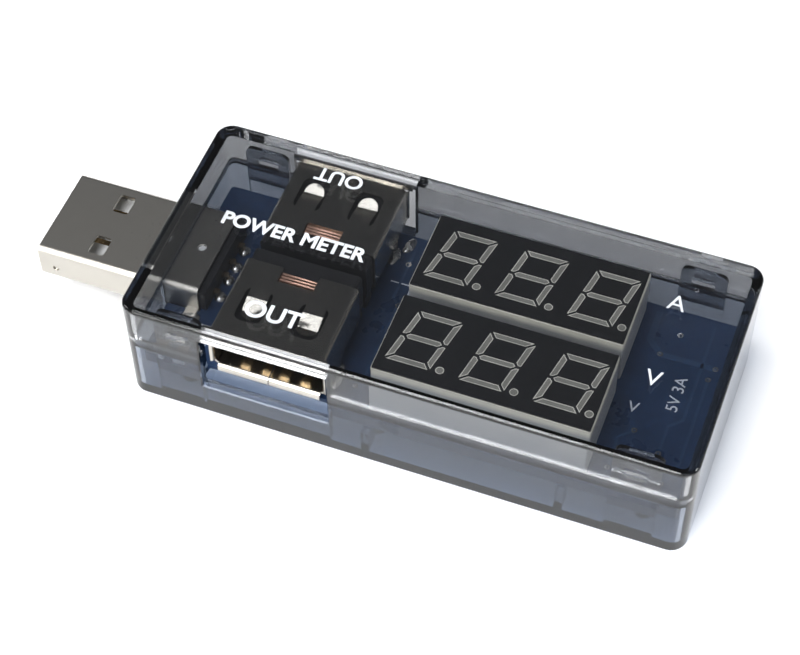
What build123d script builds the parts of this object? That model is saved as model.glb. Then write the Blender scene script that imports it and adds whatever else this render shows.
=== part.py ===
"""A pass-through USB power meter: plug, two output ports, two three-digit displays, clear case in two halves.

Millimetres. The origin is under the middle of the whole meter, on the surface that it rests on.
+X runs from the plug to the display end, +Y to the current display's side, +Z up.
"""
from build123d import *
import os
from math import radians, tan

os.makedirs("parts", exist_ok=True)

# ---- case ----
CASE_LENGTH, CASE_WIDTH, CASE_HEIGHT = 63.5, 28.6, 14.9
CORNER_RADIUS, BOTTOM_EDGE_RADIUS, TOP_EDGE_RADIUS = 1.9, 0.7, 0.4
WALL, FLOOR, ROOF = 1.2, 1.3, 1.3
PARTING_HEIGHT = 8.7
LIP_INSET, LIP_HEIGHT, LIP_PLAY = 0.65, 0.9, 0.1  # the base's upstanding rim, inside the cover's rabbet
RIM_CHAMFER = 0.15  # round the outside of each port opening

# ---- plug ----
PLUG_REACH = 14.3
PLUG_WIDTH, PLUG_HEIGHT, PLUG_LENGTH = 12.0, 4.5, 19.5
PLUG_CENTRE_HEIGHT = 7.05
SHEET = 0.3  # steel sheet of the plug and of the ports
PLUG_CORNER = 0.7
SPRING_WINDOW, SPRING_WINDOW_CORNER = (1.9, 2.6), 0.35
SPRING_WINDOW_X, SPRING_WINDOW_Y = 6.45, 3.2  # from the plug's tip, and from its middle line

# ---- circuit board ----
BOARD_TOP, BOARD_THICKNESS = 6.0, 1.6
BOARD_LENGTH, BOARD_WIDTH = 60.6, 24.2
TAIL_LENGTH = 1.1  # how far leads stand out under the board

# ---- output ports ----
PORT_OFFSET = -15.3  # from the middle of the case
PORT_OPENING, PORT_SILL, PORT_LINTEL = 14.6, 5.0, 12.85
TUBE_WIDTH, TUBE_HEIGHT, TUBE_TOP, TUBE_CORNER = 13.1, 5.7, 13.2, 0.7
TUBE_REAR, TUBE_FRONT = 2.4, 12.5  # distances from the meter's middle plane
TONGUE_WIDTH, TONGUE_THICKNESS, TONGUE_GAP, TONGUE_FRONT = 11.1, 1.84, 0.72, 12.0
CONTACT_OFFSETS = (-3.5, -1.0, 1.0, 3.5)
CONTACT_WIDTH, CONTACT_SHEET = 1.0, 0.25

# ---- displays ----
DISPLAY_LENGTH, DISPLAY_WIDTH, DISPLAY_HEIGHT = 24.2, 10.4, 6.25
HOUSING_CORNER = 0.25
FACE_THICKNESS, FACE_MARGIN, SEGMENT_SINK = 0.25, 0.12, 0.02
DISPLAY_PLACES = {"current": (7.8, 6.05), "voltage": (7.85, -5.8)}  # from the middle of the case
DIGITS_SHIFT = 0.2  # of the digits' middle, from the middle of their display
DIGIT_PITCH, DIGIT_HALF_WIDTH, DIGIT_HALF_HEIGHT = 8.15, 2.52, 3.53
SEGMENT_WIDTH, SEGMENT_GAP, SLANT = 0.68, 0.27, 11
POINT_RADIUS, POINT_PLACE = 0.47, (2.88, -3.14)
PIN_ROWS, PIN_PITCH, PINS_IN_ROW = 7.6, 2.54, 6

# ---- snap tabs ----
TAB_OFFSETS = (-25.5, 25.5)
TAB_WIDTH, TAB_THICKNESS, TAB_TOP, TAB_CORNER = 5.2, 0.45, 13.45, 0.9
TAB_FACE = 12.6  # outer face of a tab, from the middle plane
CATCH_DEPTH = 0.35
TAB_WINDOW, TAB_WINDOW_HEIGHT = (2.6, 1.3), 11.1

# ---- worked out ----
CASE_X = PLUG_REACH / 2
CASE_LEFT = CASE_X - CASE_LENGTH / 2
INNER_LENGTH, INNER_WIDTH = CASE_LENGTH - 2 * WALL, CASE_WIDTH - 2 * WALL
INNER_CORNER = CORNER_RADIUS - WALL
BOARD_BOTTOM = BOARD_TOP - BOARD_THICKNESS
PORT_X = CASE_X + PORT_OFFSET
TUBE_CENTRE_HEIGHT = TUBE_TOP - TUBE_HEIGHT / 2
TUBE_CEILING = TUBE_TOP - SHEET
TUBE_FLOOR = TUBE_TOP - TUBE_HEIGHT + SHEET
TONGUE_TOP = TUBE_CEILING - TONGUE_GAP
TONGUE_UNDERSIDE = TONGUE_TOP - TONGUE_THICKNESS
PLUG_TIP = CASE_LEFT - PLUG_REACH
PLUG_REAR = PLUG_TIP + PLUG_LENGTH
PLUG_TOP = PLUG_CENTRE_HEIGHT + PLUG_HEIGHT / 2
TAIL_END = BOARD_BOTTOM - TAIL_LENGTH
FACE_TOP = BOARD_TOP + DISPLAY_HEIGHT

case_plane = Plane(origin=(CASE_X, 0, 0))


def save(part, name):
    """Label a finished part and write it to its own file."""
    part.label = name
    export_step(part, f"parts/{name}.step")


def outward_plane(x, side, distance, height):
    """A plane that faces out of the meter's long side (-1 front, +1 back), its own y axis upwards."""
    return Plane(origin=(x, side * distance, height), x_dir=(-side, 0, 0), z_dir=(0, side, 0))


def section_plane(x, side):
    """An upright plane across the meter: its x axis runs outwards, its y axis upwards."""
    return Plane(origin=(x, 0, 0), x_dir=(0, side, 0), z_dir=(side, 0, 0))


def roof_plane(x, side, height):
    """A level plane whose y axis runs outwards."""
    return Plane(origin=(x, 0, height), x_dir=(side, 0, 0), z_dir=(0, 0, 1))


# ---------------------------------------------------------------- case

RIB_THICKNESS, RIB_REACH = 0.9, 1.9
RIB_OFFSETS = (-4.0, 17.8)
END_RIB_Y = 8.5
LEDGE_FACE, LEDGE_TOP = 12.2, 5.6  # under each port: distance from the middle plane, and height
PLUG_SLOT_WIDTH = PLUG_WIDTH + 0.3
PLUG_SLOT_BOTTOM = PLUG_CENTRE_HEIGHT - PLUG_HEIGHT / 2 - 0.1
PLUG_SLOT_TOP = PLUG_TOP + 0.15
CUT = 1.0  # how far a cutting solid runs past the faces that it cuts
OVERLAP = 0.5  # how far an added solid runs into the one that it joins
NEAR = 0.01  # for finding edges by their place


def cut_wall_openings():
    """Cut both port openings and the plug's slot through the walls."""
    with Locations((PORT_X, 0, PORT_SILL)):
        Box(
            PORT_OPENING, CASE_WIDTH + 2 * CUT, PORT_LINTEL - PORT_SILL,
            align=(Align.CENTER, Align.CENTER, Align.MIN), mode=Mode.SUBTRACT,
        )
    with Locations((CASE_LEFT + WALL / 2, 0, PLUG_SLOT_BOTTOM)):
        Box(
            WALL + CUT, PLUG_SLOT_WIDTH, PLUG_SLOT_TOP - PLUG_SLOT_BOTTOM,
            align=(Align.CENTER, Align.CENTER, Align.MIN), mode=Mode.SUBTRACT,
        )


def opening_rims(shell):
    """The outside edges of both port openings in one half of the case."""
    return shell.edges().filter_by(
        lambda edge: abs(abs(edge.center().Y) - CASE_WIDTH / 2) < NEAR
        and abs(edge.center().X - PORT_X) < PORT_OPENING / 2 + NEAR
        and PORT_SILL - NEAR < edge.center().Z < PORT_LINTEL + NEAR
    )


with BuildPart() as base_shell:
    with BuildSketch(case_plane):
        RectangleRounded(CASE_LENGTH, CASE_WIDTH, CORNER_RADIUS)
    extrude(amount=PARTING_HEIGHT)
    fillet(base_shell.edges().group_by(Axis.Z)[0], BOTTOM_EDGE_RADIUS)
    with BuildSketch(case_plane.offset(PARTING_HEIGHT)):
        RectangleRounded(CASE_LENGTH - 2 * LIP_INSET, CASE_WIDTH - 2 * LIP_INSET, CORNER_RADIUS - LIP_INSET)
    extrude(amount=LIP_HEIGHT)
    with BuildSketch(case_plane.offset(FLOOR)):
        RectangleRounded(INNER_LENGTH, INNER_WIDTH, INNER_CORNER)
    extrude(amount=CASE_HEIGHT, mode=Mode.SUBTRACT)
    # ribs that the board lies on: two from each long wall, two from the display end, two from the plug end
    rib_height = BOARD_BOTTOM - FLOOR
    for rib_x in RIB_OFFSETS:
        for side in (-1, 1):
            with Locations((CASE_X + rib_x, side * (INNER_WIDTH + OVERLAP - RIB_REACH) / 2, FLOOR)):
                Box(
                    RIB_THICKNESS, RIB_REACH + OVERLAP, rib_height,
                    align=(Align.CENTER, Align.CENTER, Align.MIN),
                )
    for end in (-1, 1):
        with Locations((CASE_X + end * (INNER_LENGTH + OVERLAP - RIB_REACH) / 2, 0, FLOOR)):
            with GridLocations(0, 2 * END_RIB_Y, 1, 2):
                Box(
                    RIB_REACH + OVERLAP, RIB_THICKNESS, rib_height,
                    align=(Align.CENTER, Align.CENTER, Align.MIN),
                )
    # spring tabs with windows, standing up inside the cover, each on a root that ties it to the wall
    for tab_x in TAB_OFFSETS:
        for side in (-1, 1):
            tab_plane = outward_plane(CASE_X + tab_x, side, TAB_FACE - TAB_THICKNESS, 0)
            with BuildSketch(tab_plane):
                with Locations((0, (FLOOR - CUT + TAB_TOP) / 2)):
                    RectangleRounded(TAB_WIDTH, TAB_TOP - FLOOR + CUT, TAB_CORNER)
                with Locations((0, TAB_WINDOW_HEIGHT)):
                    Rectangle(*TAB_WINDOW, mode=Mode.SUBTRACT)
            extrude(amount=TAB_THICKNESS)
            with BuildSketch(tab_plane):
                with Locations((0, FLOOR)):
                    Rectangle(TAB_WIDTH, PARTING_HEIGHT - FLOOR - CUT, align=(Align.CENTER, Align.MIN))
            extrude(amount=INNER_WIDTH / 2 - TAB_FACE + TAB_THICKNESS + OVERLAP)
    cut_wall_openings()
    # ledges that close the gap between the board's edge and the sill of each port opening
    for side in (-1, 1):
        with Locations((PORT_X, side * (INNER_WIDTH / 2 + OVERLAP + LEDGE_FACE) / 2, FLOOR)):
            Box(
                PORT_OPENING, INNER_WIDTH / 2 + OVERLAP - LEDGE_FACE, LEDGE_TOP - FLOOR,
                align=(Align.CENTER, Align.CENTER, Align.MIN),
            )
    chamfer(opening_rims(base_shell), RIM_CHAMFER)
save(base_shell.part, "base_shell")

RABBET_DEPTH = WALL - LIP_INSET + LIP_PLAY / 2
RABBET_HEIGHT = LIP_HEIGHT + LIP_PLAY
CATCH_HEIGHT = 0.9

with BuildPart() as top_cover:
    with BuildSketch(case_plane.offset(PARTING_HEIGHT)):
        RectangleRounded(CASE_LENGTH, CASE_WIDTH, CORNER_RADIUS)
    extrude(amount=CASE_HEIGHT - PARTING_HEIGHT)
    fillet(top_cover.edges().group_by(Axis.Z)[-1], TOP_EDGE_RADIUS)
    with BuildSketch(case_plane.offset(PARTING_HEIGHT)):
        RectangleRounded(INNER_LENGTH, INNER_WIDTH, INNER_CORNER)
    extrude(amount=CASE_HEIGHT - ROOF - PARTING_HEIGHT, mode=Mode.SUBTRACT)
    with BuildSketch(case_plane.offset(PARTING_HEIGHT)):
        RectangleRounded(
            INNER_LENGTH + 2 * RABBET_DEPTH, INNER_WIDTH + 2 * RABBET_DEPTH, INNER_CORNER + RABBET_DEPTH
        )
    extrude(amount=RABBET_HEIGHT, mode=Mode.SUBTRACT)
    # wedge catches that snap into the windows of the base's tabs
    for tab_x in TAB_OFFSETS:
        for side in (-1, 1):
            with BuildSketch(section_plane(CASE_X + tab_x, side)):
                with BuildLine():
                    Polyline(
                        (INNER_WIDTH / 2 + OVERLAP, TAB_WINDOW_HEIGHT + CATCH_HEIGHT / 2),
                        (INNER_WIDTH / 2 - CATCH_DEPTH, TAB_WINDOW_HEIGHT + CATCH_HEIGHT / 2),
                        (INNER_WIDTH / 2, TAB_WINDOW_HEIGHT - CATCH_HEIGHT / 2),
                        (INNER_WIDTH / 2 + OVERLAP, TAB_WINDOW_HEIGHT - CATCH_HEIGHT / 2),
                        close=True,
                    )
                make_face()
            extrude(amount=TAB_WINDOW[0] / 2 - LIP_PLAY, both=True)
    cut_wall_openings()
    chamfer(opening_rims(top_cover), RIM_CHAMFER)
save(top_cover.part, "top_cover")

# ---------------------------------------------------------------- circuit board

NOTCH_PLAY = 0.15
BOARD_CORNER = 0.5
LEAD_HOLE, DISPLAY_HOLE = 0.62, 0.42  # radii
SHELL_TAB_WIDTH, SHELL_TAB_PLACE = 1.6, 8.6  # legs of a port shell: width, and distance from the middle plane
TAIL_PLACE = 1.0  # port contacts' tails, from the middle plane
PLUG_TAIL_X = PLUG_REAR + 1.35
PLUG_LEG_WIDTH, PLUG_LEG_X, PLUG_LEG_REACH = 1.3, PLUG_REAR - 0.7, 1.35  # legs of the plug's shell

with BuildPart() as circuit_board:
    with BuildSketch(case_plane.offset(BOARD_BOTTOM)):
        RectangleRounded(BOARD_LENGTH, BOARD_WIDTH, BOARD_CORNER)
    extrude(amount=BOARD_THICKNESS)
    # notch that the plug's shell sinks into
    board_left = CASE_X - BOARD_LENGTH / 2
    notch_end = PLUG_REAR + NOTCH_PLAY
    with BuildSketch(Plane.XY.offset(BOARD_BOTTOM)):
        with Locations((board_left - CUT, 0)):
            Rectangle(
                notch_end - board_left + CUT, PLUG_WIDTH + 2 * NOTCH_PLAY, align=(Align.MIN, Align.CENTER)
            )
        # slots for the legs of the plug's shell and of the ports' shells
        with Locations((PLUG_LEG_X, 0)):
            with GridLocations(0, PLUG_WIDTH + 2 * PLUG_LEG_REACH - SHEET, 1, 2):
                Rectangle(PLUG_LEG_WIDTH + 2 * NOTCH_PLAY, SHEET + 2 * NOTCH_PLAY)
        for side in (-1, 1):
            with Locations((PORT_X, side * SHELL_TAB_PLACE)):
                with GridLocations(TUBE_WIDTH - SHEET, 0, 2, 1):
                    Rectangle(SHEET + 2 * NOTCH_PLAY, SHELL_TAB_WIDTH + 2 * NOTCH_PLAY)
        # round holes: plug tails, port tails, display pins
        with Locations(*[(PLUG_TAIL_X, y) for y in CONTACT_OFFSETS]):
            Circle(LEAD_HOLE)
        with Locations(*[(PORT_X + x, side * TAIL_PLACE) for x in CONTACT_OFFSETS for side in (-1, 1)]):
            Circle(LEAD_HOLE)
        for place in DISPLAY_PLACES.values():
            with Locations((CASE_X + place[0], place[1])):
                with GridLocations(PIN_PITCH, PIN_ROWS, PINS_IN_ROW, 2):
                    Circle(DISPLAY_HOLE)
    extrude(amount=BOARD_THICKNESS, mode=Mode.SUBTRACT)
save(circuit_board.part, "circuit_board")

# ---------------------------------------------------------------- plug

PLUG_TONGUE_THICKNESS, PLUG_TONGUE_SETBACK = 1.95, 0.5
PLUG_BLOCK_DEPTH = 7.0  # how far the insulator fills the rear of the shell
PLUG_CAP_DEPTH, PLUG_CAP_TAIL = 1.1, 0.8  # rear cap: inside the shell, and behind it
PLUG_HOLE_RADIUS, PLUG_HOLE_X = 0.5, -1.95
DIMPLE_RADIUS, DIMPLE_X, DIMPLE_DROP = 0.4, 1.95, 0.4
LEG_PLAY = 0.05
PLUG_LEG_TOP = BOARD_TOP + SHEET + LEG_PLAY
PLUG_LEAD_SETBACK, TAIL_WIDTH = 1.6, 0.7
plug_floor = PLUG_CENTRE_HEIGHT - PLUG_HEIGHT / 2 + SHEET
plug_tongue_top = plug_floor + PLUG_TONGUE_THICKNESS
plug_inside = (PLUG_WIDTH - 2 * SHEET, PLUG_HEIGHT - 2 * SHEET)
plug_plane = Plane(origin=(PLUG_TIP, 0, PLUG_CENTRE_HEIGHT), x_dir=(0, 1, 0), z_dir=(1, 0, 0))

with BuildPart() as plug_shell:
    with BuildSketch(plug_plane):
        RectangleRounded(PLUG_WIDTH, PLUG_HEIGHT, PLUG_CORNER)
        RectangleRounded(*plug_inside, PLUG_CORNER - SHEET, mode=Mode.SUBTRACT)
    extrude(amount=PLUG_LENGTH)
    # two spring windows above and two below
    with BuildSketch(Plane.XY):
        with Locations((PLUG_TIP + SPRING_WINDOW_X, 0)):
            with GridLocations(0, 2 * SPRING_WINDOW_Y, 1, 2):
                RectangleRounded(*SPRING_WINDOW, SPRING_WINDOW_CORNER)
    extrude(amount=CASE_HEIGHT, mode=Mode.SUBTRACT)
    # small hole in the top, inside the case
    with BuildSketch(Plane.XY.offset(PLUG_CENTRE_HEIGHT)):
        with Locations((PLUG_REAR + PLUG_HOLE_X, 0)):
            Circle(PLUG_HOLE_RADIUS)
    extrude(amount=PLUG_HEIGHT, mode=Mode.SUBTRACT)
    for towards in (-1, 1):
        # shallow dimple in the side
        dimple_height = PLUG_CENTRE_HEIGHT - DIMPLE_DROP
        dimple_plane = outward_plane(PLUG_TIP + DIMPLE_X, towards, PLUG_WIDTH / 2, dimple_height)
        with BuildSketch(dimple_plane):
            Circle(DIMPLE_RADIUS)
        extrude(amount=-SHEET / 2, mode=Mode.SUBTRACT)
        # leg: out over the board, then down through it
        with BuildSketch(Plane(origin=(PLUG_LEG_X, 0, 0), x_dir=(0, towards, 0), z_dir=(towards, 0, 0))):
            with BuildLine():
                Polyline(
                    (PLUG_WIDTH / 2 - SHEET / 2, PLUG_LEG_TOP),
                    (PLUG_WIDTH / 2 + PLUG_LEG_REACH, PLUG_LEG_TOP),
                    (PLUG_WIDTH / 2 + PLUG_LEG_REACH, TAIL_END),
                    (PLUG_WIDTH / 2 + PLUG_LEG_REACH - SHEET, TAIL_END),
                    (PLUG_WIDTH / 2 + PLUG_LEG_REACH - SHEET, PLUG_LEG_TOP - SHEET),
                    (PLUG_WIDTH / 2 - SHEET / 2, PLUG_LEG_TOP - SHEET),
                    close=True,
                )
            make_face()
        extrude(amount=PLUG_LEG_WIDTH / 2, both=True)
save(plug_shell.part, "plug_shell")

with BuildPart() as plug_lead:
    with BuildSketch(Plane.XZ):
        with BuildLine():
            Polyline(
                (PLUG_TIP + PLUG_LEAD_SETBACK, plug_tongue_top),
                (PLUG_TAIL_X + CONTACT_SHEET / 2, plug_tongue_top),
                (PLUG_TAIL_X + CONTACT_SHEET / 2, TAIL_END),
                (PLUG_TAIL_X - CONTACT_SHEET / 2, TAIL_END),
                (PLUG_TAIL_X - CONTACT_SHEET / 2, plug_tongue_top - CONTACT_SHEET),
                (PLUG_TIP + PLUG_LEAD_SETBACK, plug_tongue_top - CONTACT_SHEET),
                close=True,
            )
        make_face()
    extrude(amount=TAIL_WIDTH / 2, both=True)

with BuildPart() as plug_contacts:
    with Locations(*[(0, offset, 0) for offset in CONTACT_OFFSETS]):
        add(plug_lead.part)
save(plug_contacts.part, "plug_contacts")

with BuildPart() as plug_insulator:
    # block in the rear of the shell
    with BuildSketch(plug_plane.offset(PLUG_LENGTH - PLUG_BLOCK_DEPTH)):
        RectangleRounded(*plug_inside, PLUG_CORNER - SHEET)
    extrude(amount=PLUG_BLOCK_DEPTH - PLUG_CAP_DEPTH)
    # tongue
    with BuildSketch(plug_plane.offset(PLUG_TONGUE_SETBACK)):
        RectangleRounded(*plug_inside, PLUG_CORNER - SHEET)
        with Locations((0, plug_tongue_top - PLUG_CENTRE_HEIGHT)):
            Rectangle(PLUG_WIDTH, PLUG_HEIGHT, align=(Align.CENTER, Align.MIN), mode=Mode.SUBTRACT)
    extrude(amount=PLUG_LENGTH - PLUG_CAP_DEPTH - PLUG_TONGUE_SETBACK)
    add(plug_contacts.part, mode=Mode.SUBTRACT)
save(plug_insulator.part, "plug_insulator")

with BuildPart() as plug_rear_cap:
    # plug that closes the shell
    with BuildSketch(plug_plane.offset(PLUG_LENGTH - PLUG_CAP_DEPTH)):
        RectangleRounded(*plug_inside, PLUG_CORNER - SHEET)
    extrude(amount=PLUG_CAP_DEPTH)
    # foot that stands on the board behind the shell and guides the leads down
    with Locations((PLUG_REAR, 0, BOARD_TOP)):
        Box(
            PLUG_CAP_TAIL, plug_inside[0], PLUG_TOP - 2 * SHEET - BOARD_TOP,
            align=(Align.MIN, Align.CENTER, Align.MIN),
        )
    add(plug_contacts.part, mode=Mode.SUBTRACT)
save(plug_rear_cap.part, "plug_rear_cap")

# ---------------------------------------------------------------- output ports

LIP_BOTTOM, LIP_SIDE = (0.5, 90), (0.5, 80)  # bend radius and bend of each flared lip
FLANGE_DROP = 0.4  # straight flange below the bottom lip
LIP_FRONT = TUBE_FRONT + LIP_BOTTOM[0]  # the lips' front face, just inside the case's wall
TOP_FLANGE_WIDTH, TOP_FLANGE_END, TOP_FLANGE_EDGE = 14.2, 13.52, 0.1
LIP_LENGTH, LIP_SIDE_LENGTH = 11.8, 4.3
SEAM = 0.12
FINGER_OFFSET, FINGER_WIDTH, FINGER_OPENING = 3.2, 2.3, 3.1
FINGER_OPENING_CORNER = 0.9
FINGER_ROOT, FINGER_BEND, FINGER_DIP_PLACE, FINGER_TIP, FINGER_OPENING_END = 6.0, 7.3, 8.9, 10.1, 10.6
FINGER_BEND_DROP, FINGER_DIP, FINGER_TIP_DROP = 0.05, 0.6, 0.12
TOP_NOTCH = (4.2, 2.0)  # in the rear edge of the tube's top
SPRING_DROP = 0.6
# how far behind the tongue's front end a contact leaves it, reaches its lowest, leaves that, and comes back
SPRING_ROOT, SPRING_LOW, SPRING_RISE, SPRING_END = 4.5, 2.0, 1.2, 0.4
PORT_BLOCK_REAR, PORT_BLOCK_FRONT = 0.55, 3.3
PORT_FOOT_WIDTH = 12.0


def bell_lip(start, across, bend, towards):
    """Profile of a flared lip: a sheet that curls away from the opening by the given bend.

    start is where the tube ends, across the place of the sheet's inner face, towards +1 or -1.
    """
    radius, angle = bend
    centre = (start, across + towards * radius)
    with BuildSketch() as profile:
        with BuildLine():
            inner = CenterArc(centre, radius, -90 * towards, angle * towards)
            outer = CenterArc(centre, radius - SHEET, -90 * towards, angle * towards)
            Line(inner @ 0, outer @ 0)
            Line(inner @ 1, outer @ 1)
        make_face()
    return profile.sketch


def build_port(name, side):
    """One output port: contacts, insulator and steel shell. side is -1 for the front, +1 for the back."""
    section = section_plane(PORT_X, side)

    with BuildPart() as lead:
        with BuildSketch(section):
            with BuildLine():
                Polyline(
                    (TAIL_PLACE, TAIL_END),
                    (TAIL_PLACE, TONGUE_UNDERSIDE),
                    (TONGUE_FRONT - SPRING_ROOT, TONGUE_UNDERSIDE),
                    (TONGUE_FRONT - SPRING_LOW, TONGUE_UNDERSIDE - SPRING_DROP),
                    (TONGUE_FRONT - SPRING_RISE, TONGUE_UNDERSIDE - SPRING_DROP),
                    (TONGUE_FRONT - SPRING_END, TONGUE_UNDERSIDE),
                )
                offset(amount=CONTACT_SHEET, side=Side.RIGHT)
            make_face()
        extrude(amount=CONTACT_WIDTH / 2, both=True)

    with BuildPart() as contacts:
        with Locations(*[(x, 0, 0) for x in CONTACT_OFFSETS]):
            add(lead.part)
    save(contacts.part, f"{name}_contacts")

    with BuildPart() as insulator:
        with BuildSketch(outward_plane(PORT_X, side, PORT_BLOCK_REAR, TUBE_CENTRE_HEIGHT)):
            RectangleRounded(
                TUBE_WIDTH - 2 * SHEET - LIP_PLAY, TUBE_HEIGHT - 2 * SHEET - LIP_PLAY, TUBE_CORNER - SHEET
            )
        extrude(amount=PORT_BLOCK_FRONT - PORT_BLOCK_REAR)
        with BuildSketch(outward_plane(PORT_X, side, PORT_BLOCK_FRONT, TONGUE_TOP - TONGUE_THICKNESS / 2)):
            Rectangle(TONGUE_WIDTH, TONGUE_THICKNESS)
        extrude(amount=TONGUE_FRONT - PORT_BLOCK_FRONT)
        # foot behind the tube, down to the board
        with BuildSketch(outward_plane(PORT_X, side, PORT_BLOCK_REAR, BOARD_TOP)):
            Rectangle(PORT_FOOT_WIDTH, TUBE_CENTRE_HEIGHT - BOARD_TOP, align=(Align.CENTER, Align.MIN))
        extrude(amount=TUBE_REAR - PORT_BLOCK_REAR - LIP_PLAY)
        add(contacts.part, mode=Mode.SUBTRACT)
    save(insulator.part, f"{name}_insulator")

    # underside of a spring finger, from its root outwards
    finger_line = (
        (FINGER_ROOT - OVERLAP, TUBE_CEILING),
        (FINGER_ROOT, TUBE_CEILING),
        (FINGER_BEND, TUBE_CEILING - FINGER_BEND_DROP),
        (FINGER_DIP_PLACE, TUBE_CEILING - FINGER_DIP),
        (FINGER_TIP, TUBE_CEILING - FINGER_TIP_DROP),
    )

    with BuildPart() as finger:
        with BuildSketch(section):
            with BuildLine():
                Polyline(*finger_line, *[(y, z + SHEET) for y, z in reversed(finger_line)], close=True)
            make_face()
        extrude(amount=FINGER_WIDTH / 2, both=True)
        with BuildSketch(roof_plane(PORT_X, side, TUBE_CENTRE_HEIGHT)):
            with Locations((0, FINGER_TIP - FINGER_WIDTH / 2)):
                Circle(FINGER_WIDTH / 2)
                Rectangle(FINGER_WIDTH, FINGER_TIP, align=(Align.CENTER, Align.MAX))
        extrude(amount=TUBE_HEIGHT, mode=Mode.INTERSECT)

    # the top lip runs level, then turns sharply up into a wide upright flange
    with BuildPart() as top_flange:
        with BuildSketch(section):
            with Locations((LIP_FRONT, TUBE_CEILING)):
                Rectangle(LIP_FRONT - TUBE_FRONT + OVERLAP, SHEET, align=(Align.MAX, Align.MIN))
        extrude(amount=LIP_LENGTH / 2, both=True)
        with BuildSketch(section):
            with Locations((LIP_FRONT, TUBE_CEILING)):
                Rectangle(SHEET, TOP_FLANGE_END - TUBE_CEILING, align=(Align.MAX, Align.MIN))
        extrude(amount=TOP_FLANGE_WIDTH / 2, both=True)
        front_edges = top_flange.edges().filter_by(Axis.X).filter_by(
            lambda edge: abs(abs(edge.center().Y) - LIP_FRONT) < NEAR
            and edge.center().Z < TUBE_CEILING + NEAR
        )
        fillet(front_edges, TOP_FLANGE_EDGE)

    with BuildPart() as shell:
        with BuildSketch(outward_plane(PORT_X, side, TUBE_REAR, TUBE_CENTRE_HEIGHT)):
            RectangleRounded(TUBE_WIDTH, TUBE_HEIGHT, TUBE_CORNER)
            RectangleRounded(
                TUBE_WIDTH - 2 * SHEET, TUBE_HEIGHT - 2 * SHEET, TUBE_CORNER - SHEET, mode=Mode.SUBTRACT
            )
        extrude(amount=TUBE_FRONT - TUBE_REAR)
        # flared lips round the mouth
        with BuildSketch(section):
            add(bell_lip(TUBE_FRONT, TUBE_FLOOR, LIP_BOTTOM, -1))
            with Locations((LIP_FRONT, TUBE_FLOOR - LIP_BOTTOM[0])):
                Rectangle(SHEET, FLANGE_DROP, align=(Align.MAX, Align.MAX))
        extrude(amount=LIP_LENGTH / 2, both=True)
        for towards in (-1, 1):
            level = Plane(origin=(PORT_X, 0, TUBE_CENTRE_HEIGHT), x_dir=(0, side, 0), z_dir=(0, 0, 1))
            with BuildSketch(level):
                add(bell_lip(TUBE_FRONT, towards * (TUBE_WIDTH / 2 - SHEET), LIP_SIDE, towards))
            extrude(amount=LIP_SIDE_LENGTH / 2, both=True)
        add(top_flange.part)
        # seam of the folded sheet, under the tube
        with BuildSketch(roof_plane(PORT_X, side, 0)):
            Rectangle(SEAM, 2 * CASE_WIDTH)
        extrude(amount=TUBE_CENTRE_HEIGHT, mode=Mode.SUBTRACT)
        # openings of the spring fingers, and the notch in the rear edge
        with BuildSketch(roof_plane(PORT_X, side, TUBE_CENTRE_HEIGHT)):
            for finger_x in (-FINGER_OFFSET, FINGER_OFFSET):
                with Locations((finger_x, FINGER_ROOT)):
                    RectangleRounded(
                        FINGER_OPENING, FINGER_OPENING_END - FINGER_ROOT, FINGER_OPENING_CORNER,
                        align=(Align.CENTER, Align.MIN),
                    )
            with Locations((0, TUBE_REAR)):
                Rectangle(TOP_NOTCH[0], 2 * TOP_NOTCH[1])
        extrude(amount=CASE_HEIGHT, mode=Mode.SUBTRACT)
        for finger_x in (-FINGER_OFFSET, FINGER_OFFSET):
            add(Pos(finger_x, 0, 0) * finger.part)
        # legs through the board
        for towards in (-1, 1):
            leg_x = PORT_X + towards * (TUBE_WIDTH - SHEET) / 2
            with Locations((leg_x, side * SHELL_TAB_PLACE, TAIL_END)):
                Box(
                    SHEET, SHELL_TAB_WIDTH, TUBE_CENTRE_HEIGHT - TAIL_END,
                    align=(Align.CENTER, Align.CENTER, Align.MIN),
                )
    save(shell.part, f"{name}_shell")


for port_name, port_side in (("front_port", -1), ("back_port", 1)):
    build_port(port_name, port_side)

# ---------------------------------------------------------------- displays

PIN_SECTION = (0.5, 0.25)
MITRE = 0.5 * SEGMENT_GAP * 2 ** 0.5


def digit_segments():
    """The seven slanted segments and the point of one digit, about the digit's middle."""
    w, h, t, g = DIGIT_HALF_WIDTH, DIGIT_HALF_HEIGHT, SEGMENT_WIDTH, MITRE
    bar = [(-w + g, h), (w - g, h), (w - g - t, h - t), (-w + g + t, h - t)]
    upright = [(w, h - g), (w, g), (w - t / 2, g), (w - t, g + t / 2), (w - t, h - g - t)]
    middle = [
        (-w + g + t / 2, 0), (-w + g + t, t / 2), (w - g - t, t / 2),
        (w - g - t / 2, 0), (w - g - t, -t / 2), (-w + g + t, -t / 2),
    ]
    outlines = [middle]
    for up in (-1, 1):
        outlines.append([(x, up * y) for x, y in bar])
        for right in (-1, 1):
            outlines.append([(right * x, up * y) for x, y in upright])
    lean = tan(radians(SLANT))
    with BuildSketch() as digit:
        for outline in outlines:
            Polygon(*[(x + lean * y, y) for x, y in outline], align=None)
        with Locations(POINT_PLACE):
            Circle(POINT_RADIUS)
    return digit.sketch


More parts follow.
